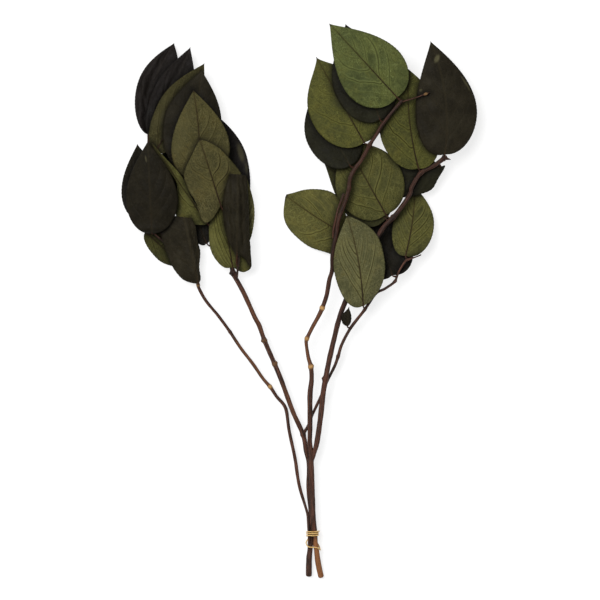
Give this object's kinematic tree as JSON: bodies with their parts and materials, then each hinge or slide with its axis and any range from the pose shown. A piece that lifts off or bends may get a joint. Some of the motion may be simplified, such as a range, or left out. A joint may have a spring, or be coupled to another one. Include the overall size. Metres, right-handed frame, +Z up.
{
  "type": "salal branch",
  "caption": "Tied bunch of dried, preserved salal lying flat: slender forked branches fan out from the bound cut ends into two heaps of broad pointed leaves.",
  "frame": {"origin": "middle of the bunch's box, on the surface it lies on", "axes": "+X across the bunch, from the left heap of leaves to the right one; +Y along it, from the cut ends towards the leaf tips; +Z up from the surface"},
  "size_m": [0.3276, 0.5105, 0.0312],
  "materials": {
    "bark": "matte",
    "leaf_upper_side": "satin",
    "leaf_underside": "matte",
    "band": "matte"
  },
  "bodies": {
    "root": {"branch_left": "bark", "branch_right": "bark", "branch_thin": "bark", "leaf_left_01": "leaf_upper_side", "leaf_left_02": "leaf_upper_side", "leaf_left_03": "leaf_underside", "leaf_left_04": "leaf_upper_side", "leaf_left_05": "leaf_underside", "leaf_left_06": "leaf_underside", "leaf_left_07": "leaf_upper_side", "leaf_left_08": "leaf_underside", "leaf_left_09": "leaf_underside", "leaf_left_10": "leaf_upper_side", "leaf_left_11": "leaf_upper_side", "leaf_left_12": "leaf_upper_side", "leaf_left_13": "leaf_underside", "leaf_left_14": "leaf_upper_side", "leaf_left_15": "leaf_underside", "leaf_left_16": "leaf_upper_side", "leaf_right_01": "leaf_underside", "leaf_right_02": "leaf_upper_side", "leaf_right_03": "leaf_underside", "leaf_right_04": "leaf_upper_side", "leaf_right_05": "leaf_underside", "leaf_right_06": "leaf_underside", "leaf_right_07": "leaf_underside", "leaf_right_08": "leaf_upper_side", "leaf_right_09": "leaf_upper_side", "leaf_right_10": "leaf_underside", "leaf_right_11": "leaf_upper_side", "leaf_right_12": "leaf_underside", "leaf_right_13": "leaf_underside", "leaf_right_14": "leaf_upper_side", "tie_band": "band"}
  },
  "joints": []
}
